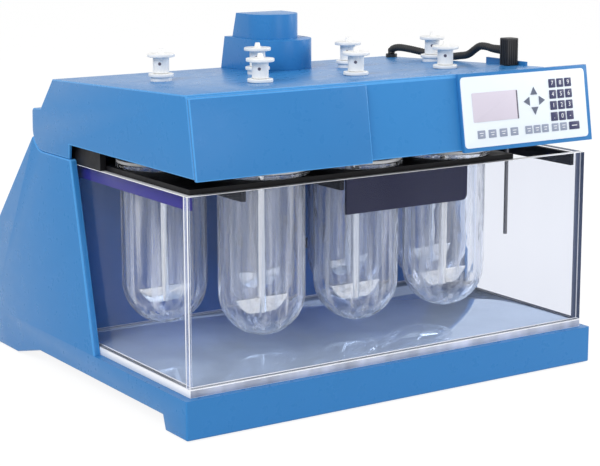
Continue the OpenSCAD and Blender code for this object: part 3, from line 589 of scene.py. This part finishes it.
def vessel_profile():
    """Round bottom, straight wall and a rim, outside and then inside."""
    ease = 1.2 * MM
    outer = arc_points(0, BALL_Z, VESSEL_OUT, -90, 0, 20)
    neck = [(VESSEL_OUT, SEAT_Z)]
    lip = (arc_points(RIM_R - ease, SEAT_Z + ease, ease, -90, 0, 4)
           + arc_points(RIM_R - ease, RIM_Z - ease, ease, 0, 90, 4)
           + arc_points(VESSEL_IN + ease, RIM_Z - ease, ease, 90, 180, 4))
    inner = arc_points(0, BALL_Z, VESSEL_IN, 0, -90, 20)
    return outer + neck + lip + inner


def vessel_row(name, node, row):
    """The vessels at some stations, as one piece."""
    bm = bmesh.new()
    for k in row:
        turned(bm, vessel_profile(), STATIONS[k], VESSEL_SIDES)
    as_piece(name, closed(bm), [glass], "base", [node], smooth=60.0)


vessel_row("rear_left_glass", "rear_left_vessels", (1, 2))
vessel_row("rear_right_glass", "rear_right_vessels", (3, 4))
vessel_row("front_glass", "front_vessels", (5, 6, 7))

# White caps with a set screw, one on each stirrer
CAP_Z, CAP_R, CAP_H, DISC_R, DISC_H, TIP_H = (v * MM for v in (406.3, 10, 20, 17, 4, 6))
COLLAR_R, NECK_R, TIP_R = 6 * MM, 4 * MM, 3 * MM
CAP_SIDES = 48
SET_SCREW_Z, SET_SCREW_TURN, SET_SCREW_SINK = 12 * MM, -38, 0.2 * MM
SET_SCREW_R, SET_SCREW_TIP_R, SET_SCREW_H = 2.1 * MM, 1.9 * MM, 0.8 * MM


def cap_profile():
    """A drum, a disc on it and a short tip."""
    top = CAP_H + DISC_H
    ease = 0.8 * MM
    return ([(0, 0), (CAP_R - ease, 0), (CAP_R, ease), (CAP_R, CAP_H - 2 * ease)]
            + arc_points(CAP_R + 2 * ease, CAP_H - 2 * ease, 2 * ease, 180, 90, 4)
            + arc_points(DISC_R - ease, CAP_H + ease, ease, -90, 0, 3)
            + arc_points(DISC_R - ease, top - ease, ease, 0, 90, 3)
            + [(COLLAR_R, top), (NECK_R, top + ease), (TIP_R, top + TIP_H - ease)]
            + arc_points(TIP_R - ease, top + TIP_H - ease, ease, 0, 90, 3) + [(0, top + TIP_H)])


def shaft_caps():
    for k, at in STATIONS.items():
        bm = bmesh.new()
        turned(bm, cap_profile(), at + Vector((0, 0, CAP_Z)), CAP_SIDES)
        closed(bm)
        place = (Matrix.Translation(at + Vector((0, 0, CAP_Z + SET_SCREW_Z)))
                 @ Matrix.Rotation(math.radians(SET_SCREW_TURN), 4, "Z")
                 @ Matrix.Rotation(math.radians(90), 4, "X")
                 @ Matrix.Translation((0, 0, CAP_R - SET_SCREW_SINK)))
        made = bmesh.ops.create_cone(bm, cap_ends=True, segments=20, radius1=SET_SCREW_R,
                                     radius2=SET_SCREW_TIP_R, depth=SET_SCREW_H, matrix=place)
        paint(faces_of(made), 1)
        as_piece(f"white_cap_{k}", bm, [white_plastic, screen_edge], f"stirrer_{k}", [f"shaft_cap_{k}"])


shaft_caps()
softened("white_bushes", "cap_bushes", white_plastic, 0.7 * MM, lambda e: e.is_convex, sharp=50.0)
softened("vessel_lids", "vessel_covers", cover_plastic, 0.7 * MM, lambda e: e.is_convex, sharp=50.0)
for k in STATIONS:
    softened(f"paddle_stirrer_{k}", f"stirrer_{k}", rod_steel, 0.5 * MM, sharp=50.0)

# Console face: X to the right, Z up the face, -Y outward; sizes on it in millimetres
CONSOLE_AT = mm(67, -290, 310)
CONSOLE_LEAN = math.atan(15 / 93)
console = Matrix.Translation(CONSOLE_AT) @ Matrix.Rotation(-CONSOLE_LEAN, 4, "X")
FILM_T, KEY_T, PRINT_T = 0.8, 0.6, 0.12
FILM_OUT, KEY_OUT, LCD_EDGE_OUT, PRINT_OUT, DIGIT_OUT = 0.4, 1.1, 1.2, 1.43, 1.46
FILM_CORNER, LCD_CORNER, LCD_EDGE_CORNER = 5, 1.5, 0.4
KEY_CORNER, DIGIT_CORNER, BAR_CORNER = 0.8, 0.9, 0.2
FILM_X, FILM_S, FILM_W, FILM_H = 101.75, 48.6, 200.5, 87.2
LCD_X, LCD_S, LCD_W, LCD_H = 53, 54, 72, 36
LCD_EDGE_X, LCD_EDGE_S, LCD_EDGE_W, LCD_EDGE_H = 87.9, 53.7, 2.2, 35.5


def on_console(x, s, out):
    """A place on the console's face: across, up the face and outward."""
    return console @ Matrix.Translation(mm(x, -out, s))


def tile(bm, x, s, out, width, height, thick, corner, material=0):
    """Adds a thin plate on the console's face."""
    plate(bm, width * MM, height * MM, thick * MM, corner * MM, on_console(x, s, out), material)


def keypad_film():
    bm = bmesh.new()
    tile(bm, FILM_X, FILM_S, FILM_OUT, FILM_W, FILM_H, FILM_T, FILM_CORNER)
    as_piece("keypad_film", bm, [film_white], "head", ["keypad_overlay"])


def display():
    bm = bmesh.new()
    tile(bm, LCD_X, LCD_S, KEY_OUT, LCD_W, LCD_H, KEY_T, LCD_CORNER)
    tile(bm, LCD_EDGE_X, LCD_EDGE_S, LCD_EDGE_OUT, LCD_EDGE_W, LCD_EDGE_H, KEY_T, LCD_EDGE_CORNER, 1)
    as_piece("display_screen", bm, [screen, screen_edge], "head", ["display_window"])


SOFT_KEYS = ([(27.5 + 17.5 * i, 12) for i in range(4)] + [(103.5 + 13.5 * i, 11) for i in range(3)]
             + [(147 + 14 * i, 11) for i in range(2)])
SOFT_S, SOFT_H = 20.5, 10
ENTER_X, ENTER_W = 179, 17
ARROW_X, ARROW_S, ARROW_R, ARROW_SIZE = 116, 56, 11, 6.4
DIGIT_X, DIGIT_S, DIGIT_STEP_X, DIGIT_STEP_S, DIGIT_W, DIGIT_SIZE = 147, 76, 13.2, 14, 11, 8.0
DIGIT_ROWS = ("789", "456", "123", ".0-")
BAR_H, ENTER_BAR_W, ENTER_BAR_H = 0.9, 9, 1.1
# Two printed bars on each soft key: share of the key's width, height over its middle
SOFT_BARS = ((0.5, 1.6), (0.36, -1.4))
GREY, NAVY, PRINT, ARROW = range(4)


def arrow(bm, x, s, angle):
    """Adds a small triangle that points along an angle on the console's face."""
    place = (on_console(x, s, KEY_OUT) @ Matrix.Rotation(math.radians(-angle), 4, "Y")
             @ Matrix.Rotation(math.radians(90), 4, "X"))
    made = bmesh.ops.create_cone(bm, cap_ends=True, segments=3, radius1=ARROW_SIZE * MM,
                                 radius2=ARROW_SIZE * MM, depth=KEY_T * MM,
                                 matrix=place @ Matrix.Rotation(math.radians(-90), 4, "Z"))
    paint(faces_of(made), ARROW)


def digit(bm, text, x, s):
    """Adds one raised numeral of the number keys."""
    curve = bpy.data.curves.new("numeral", "FONT")
    curve.body = text
    curve.size = DIGIT_SIZE * MM
    curve.extrude = PRINT_T * MM / 2
    curve.align_x = "CENTER"
    curve.align_y = "CENTER"
    holder = bpy.data.objects.new("numeral", curve)
    scene.collection.objects.link(holder)
    bpy.context.view_layer.update()
    mesh = bpy.data.meshes.new_from_object(holder.evaluated_get(bpy.context.evaluated_depsgraph_get()))
    bpy.data.objects.remove(holder)
    mesh.transform(on_console(x, s, DIGIT_OUT) @ Matrix.Rotation(math.radians(90), 4, "X"))
    older = set(bm.faces)
    bm.from_mesh(mesh)
    paint(set(bm.faces) - older, PRINT)
    bpy.data.meshes.remove(mesh)


def key_bar(bm, x, s, width, height):
    """Adds a printed bar to a key."""
    tile(bm, x, s, PRINT_OUT, width, height, PRINT_T, BAR_CORNER, PRINT)


def keys():
    """Soft keys, four arrows, the long key at the right and the number keys."""
    bm = bmesh.new()
    for x, width in SOFT_KEYS:
        tile(bm, x, SOFT_S, KEY_OUT, width, SOFT_H, KEY_T, KEY_CORNER, GREY)
        for share, up in SOFT_BARS:
            key_bar(bm, x, SOFT_S + up, width * share, BAR_H)
    for angle in (0, 90, 180, 270):
        side, up = math.cos(math.radians(angle)), math.sin(math.radians(angle))
        arrow(bm, ARROW_X + ARROW_R * side, ARROW_S + ARROW_R * up, angle)
    tile(bm, ENTER_X, SOFT_S, KEY_OUT, ENTER_W, SOFT_H, KEY_T, KEY_CORNER, NAVY)
    key_bar(bm, ENTER_X, SOFT_S, ENTER_BAR_W, ENTER_BAR_H)
    for row, texts in enumerate(DIGIT_ROWS):
        for column, text in enumerate(texts):
            x, s = DIGIT_X + DIGIT_STEP_X * column, DIGIT_S - DIGIT_STEP_S * row
            tile(bm, x, s, KEY_OUT, DIGIT_W, DIGIT_W, KEY_T, DIGIT_CORNER, NAVY)
            digit(bm, text, x, s)
    as_piece("keypad_buttons", bm, [key_grey, key_navy, print_white, arrow_grey], "head", ["keypad_keys"])


keypad_film()
display()
keys()

# Probe's handle and its corrugated cable
GRIP_X, GRIP_Y, GRIP_W = 201.0, -209.5, 17.0
GRIP_Z = (404, 436)
RIDGE_AT, RIDGE_W, RIDGE_RISE = (-5.4, -1.8, 1.8, 5.4), 1.3, 0.7


def probe_grip():
    """The handle block with upright ridges on its front and its two sides."""
    bm = copy_of("probe_handle")
    round_edges(bm, 0.9 * MM, lambda e: e.is_convex)
    half = GRIP_W / 2
    for step in RIDGE_AT:
        block(bm, mm(GRIP_X + step - RIDGE_W / 2, GRIP_Y - half - RIDGE_RISE, GRIP_Z[0]),
              mm(GRIP_X + step + RIDGE_W / 2, GRIP_Y - half + RIDGE_RISE, GRIP_Z[1]))
        for side in (-1, 1):
            block(bm, mm(GRIP_X + side * half - RIDGE_RISE, GRIP_Y + step - RIDGE_W / 2, GRIP_Z[0]),
                  mm(GRIP_X + side * half + RIDGE_RISE, GRIP_Y + step + RIDGE_W / 2, GRIP_Z[1]))
    as_piece("probe_grip", bm, [black_plastic], "head", ["probe_handle"])


probe_grip()

# Cable from its gland to the handle: sideways bow, share of the way, height over the hood's top
CABLE_BOW = (
    (0, 0, 5.3), (0, 0, 10), (0, 0.035, 13.4), (0, 0.08, 14.4), (1, 0.139, 13.6),
    (4, 0.214, 11.2), (8, 0.29, 8.2), (12, 0.365, 5.6), (13.2, 0.437, 5.4), (12, 0.508, 5.6),
    (7, 0.587, 7.5), (3.5, 0.663, 9.5), (2, 0.706, 12.6), (1, 0.75, 18), (0.5, 0.794, 22.5),
    (0, 0.849, 22.7), (0, 0.9, 20.8), (0, 0.96, 19.8), (0, 1, 19.6))
GLAND_Y = 46.0
TOP_Y, TOP_Z, TOP_FALL = -269.677, 405.0, 14 / 345


def cable_points():
    """The route's points in the part's frame."""
    made = []
    for bow, share, rise in CABLE_BOW:
        y = GLAND_Y + (GRIP_Y + GRIP_W / 2 - GLAND_Y) * share
        made.append(mm(GRIP_X + bow, y, TOP_Z - TOP_FALL * (y - TOP_Y) + rise))
    return made


CABLE_ROUTE = cable_points()
CABLE_D = 10 * MM
CURVE_STEPS, RING_SIDES = 12, 20
RIB_PITCH = 4 * MM
RIB_SHAPE = (1.0, 1.0, 0.90, 0.90)
BOOT_LEN, BOOT_SWELL = 30 * MM, 0.22


def smooth_route(points, each):
    """One smooth curve through the points, with a fixed number of steps between neighbours."""
    made = []
    for i in range(len(points) - 1):
        p0, p1, p2, p3 = (points[max(0, min(len(points) - 1, j))] for j in range(i - 1, i + 3))
        for n in range(each):
            t = n / each
            made.append(0.5 * (2 * p1 + (p2 - p0) * t + (2 * p0 - 5 * p1 + 4 * p2 - p3) * t ** 2
                               + (3 * p1 - p0 - 3 * p2 + p3) * t ** 3))
    return made + [points[-1]]


def even_route(points, pitch):
    """The same curve in equal steps of about the pitch."""
    gaps = [(b - a).length for a, b in zip(points, points[1:])]
    whole = sum(gaps)
    count = round(whole / pitch)
    made, i, gone = [], 0, 0.0
    for n in range(count + 1):
        goal = whole * n / count
        while i < len(gaps) - 1 and gone + gaps[i] < goal:
            gone += gaps[i]
            i += 1
        made.append(points[i].lerp(points[i + 1], min(1.0, (goal - gone) / gaps[i])))
    return made, whole


def probe_cable():
    """Ribbed cable with a boot that swells towards the handle."""
    path, length = even_route(smooth_route(CABLE_ROUTE, CURVE_STEPS), RIB_PITCH / len(RIB_SHAPE))
    bm = bmesh.new()
    rings = []
    for i, at in enumerate(path):
        along = (path[min(i + 1, len(path) - 1)] - path[max(i - 1, 0)]).normalized()
        turn = along.to_track_quat("Z", "X").to_matrix().to_4x4()
        left = length * (1 - i / (len(path) - 1))
        boot = 1.0 + BOOT_SWELL * max(0.0, 1 - left / BOOT_LEN)
        radius = CABLE_D / 2 * RIB_SHAPE[i % len(RIB_SHAPE)] * boot
        made = bmesh.ops.create_circle(bm, segments=RING_SIDES, radius=radius,
                                       matrix=Matrix.Translation(at) @ turn)
        rings.append(list({e for v in made["verts"] for e in v.link_edges}))
    for first, second in zip(rings, rings[1:]):
        bmesh.ops.bridge_loops(bm, edges=first + second)
    for ring in (rings[0], rings[-1]):
        bmesh.ops.contextual_create(bm, geom=ring)
    bmesh.ops.recalc_face_normals(bm, faces=bm.faces)
    piece = as_piece("corrugated_cable", bm, [black_rubber], "head", ["probe_cable"], smooth=60.0)


probe_cable()

# Small fittings: screws of the rear panel and of the console's arm, pins of the mains inlet
PANEL_Y, PANEL_SCREW_X, PANEL_SCREW_Z = 286, (-288, -96, 96, 288), (60, 143)
ARM_X, ARM_SCREW_Y, ARM_SCREW_Z = 216, (-185, -225), 394
SCREW_R, SCREW_H, SCREW_OUT = 4 * MM, 1.4 * MM, 0.6 * MM
RECESS_R, RECESS_H, RECESS_OUT = 1.6 * MM, 0.4 * MM, 1.2 * MM
TAPER = 0.86
INLET_X, INLET_Z = 190, 98
PINS = ((-7, -1), (0, 3), (7, -1))
PIN_W, PIN_H, PIN_Y = 2, 5, (268, 280)


def disc(bm, at, axis, radius, depth, material, sides):
    """Adds a flat many-sided piece along an axis, a little narrower in front."""
    place = Matrix.Translation(at) @ axis.to_track_quat("Z", "X").to_matrix().to_4x4()
    made = bmesh.ops.create_cone(bm, cap_ends=True, segments=sides, radius1=radius, radius2=radius * TAPER,
                                 depth=depth, matrix=place)
    paint(faces_of(made), material)


def screw(bm, at, axis):
    """Adds a screw head with a six-sided recess, at a point on the surface that it stands on."""
    disc(bm, at + axis * SCREW_OUT, axis, SCREW_R, SCREW_H, 0, 20)
    disc(bm, at + axis * RECESS_OUT, axis, RECESS_R, RECESS_H, 1, 6)


def panel_screws():
    bm = bmesh.new()
    for x in PANEL_SCREW_X:
        for z in PANEL_SCREW_Z:
            screw(bm, mm(x, PANEL_Y, z), Vector((0, 1, 0)))
    as_piece("panel_screws", bm, [dull_metal, black_plastic], "base")


def arm_screws():
    bm = bmesh.new()
    for y in ARM_SCREW_Y:
        screw(bm, mm(ARM_X, y, ARM_SCREW_Z), Vector((1, 0, 0)))
    as_piece("arm_screws", bm, [dull_metal, black_plastic], "head")


def inlet_pins():
    bm = bmesh.new()
    for x, z in PINS:
        block(bm, mm(INLET_X + x - PIN_W / 2, PIN_Y[0], INLET_Z + z - PIN_H / 2),
              mm(INLET_X + x + PIN_W / 2, PIN_Y[1], INLET_Z + z + PIN_H / 2))
    as_piece("inlet_pins", bm, [steel], "base")


panel_screws()
arm_screws()
inlet_pins()

# CAD nodes that keep their shape
for node, material in {
    "rubber_feet": black_rubber, "rear_panel": grey_panel, "mains_inlet": black_plastic,
    "power_rocker": black_plastic, "circulation_heater": motor_grey, "vessel_plate": black_paint,
    "front_apron": navy_apron, "head_rests": black_paint,
    "hinge_brackets": bracket_metal, "head_chassis": black_paint, "drive_motor": motor_grey,
    "motor_pulley": dull_metal, "drive_belts": black_rubber, "spindle_bearings": dull_metal,
    "hinge_pins": steel, "temperature_probe": probe_metal, "cable_gland": black_plastic,
    **{f"spindle_{k}": dull_metal for k in STATIONS},
}.items():
    mesh = nodes[node].data
    mesh.materials.clear()
    mesh.materials.append(material)


# Studio: pale floor, white surroundings and soft lamps
SURROUND_LEVEL = 0.55
FLOOR_HALF, FLOOR_GLOW, FLOOR_WHITE = 12.0, 1.1, 0.82


def seen_directly(tree):
    """1 for what the camera sees straight, in a mirror or through glass."""
    path = tree.nodes.new("ShaderNodeLightPath")
    mirrored = math_node(tree, "MAXIMUM", path.outputs["Is Glossy Ray"], path.outputs["Is Transmission Ray"])
    return math_node(tree, "MAXIMUM", path.outputs["Is Camera Ray"], mirrored)


def make_world():
    """Even light from all round, which looks white wherever it shows."""
    world = bpy.data.worlds.new("studio")
    scene.world = world
    world.use_nodes = True
    tree = world.node_tree
    light = tree.nodes["Background"]
    set_inputs(light, Color=WHITE, Strength=SURROUND_LEVEL)
    white = add_node(tree, "ShaderNodeBackground", Color=WHITE, Strength=1.0)
    show(tree, mix_shader(tree, seen_directly(tree), light, white), "World Output")


def make_floor():
    """Pale paper that looks white but keeps the shadow."""
    bm = bmesh.new()
    bmesh.ops.create_grid(bm, x_segments=1, y_segments=1, size=FLOOR_HALF)
    mesh = bpy.data.meshes.new("studio_floor")
    bm.to_mesh(mesh)
    bm.free()
    floor = bpy.data.objects.new("studio_floor", mesh)
    scene.collection.objects.link(floor)
    material = finish_of("floor_paper", (0.86, 0.86, 0.86), 0.7, spread=0.01, patch=2.0, grain=0.02,
                         Specular_IOR_Level=0.1)
    tree = material.node_tree
    glow = add_node(tree, "ShaderNodeEmission", Color=WHITE, Strength=FLOOR_GLOW)
    share = math_node(tree, "MULTIPLY", seen_directly(tree), FLOOR_WHITE)
    show(tree, mix_shader(tree, share, tree.nodes["Principled BSDF"], glow))
    mesh.materials.append(material)


def make_lamp(name, at, target, size, power):
    """A round soft lamp that faces a target."""
    data = bpy.data.lights.new(name, "AREA")
    data.shape = "DISK"
    data.size = size
    data.energy = power
    lamp = bpy.data.objects.new(name, data)
    scene.collection.objects.link(lamp)
    lamp.location = at
    lamp.rotation_euler = (Vector(target) - Vector(at)).to_track_quat("-Z", "Y").to_euler()


make_world()
make_floor()
# Name, place, target, size in metres, power in watts
make_lamp("key_left", (-2.9, -1.3, 3.1), (0, 0, 0.25), 2.0, 90.0)
make_lamp("fill_front", (0.2, -2.8, 0.75), (0, 0, 0.15), 1.4, 12.0)
make_lamp("fill_right", (2.6, -0.9, 1.3), (0, 0, 0.15), 1.4, 38.0)
scene.view_settings.view_transform = "Standard"
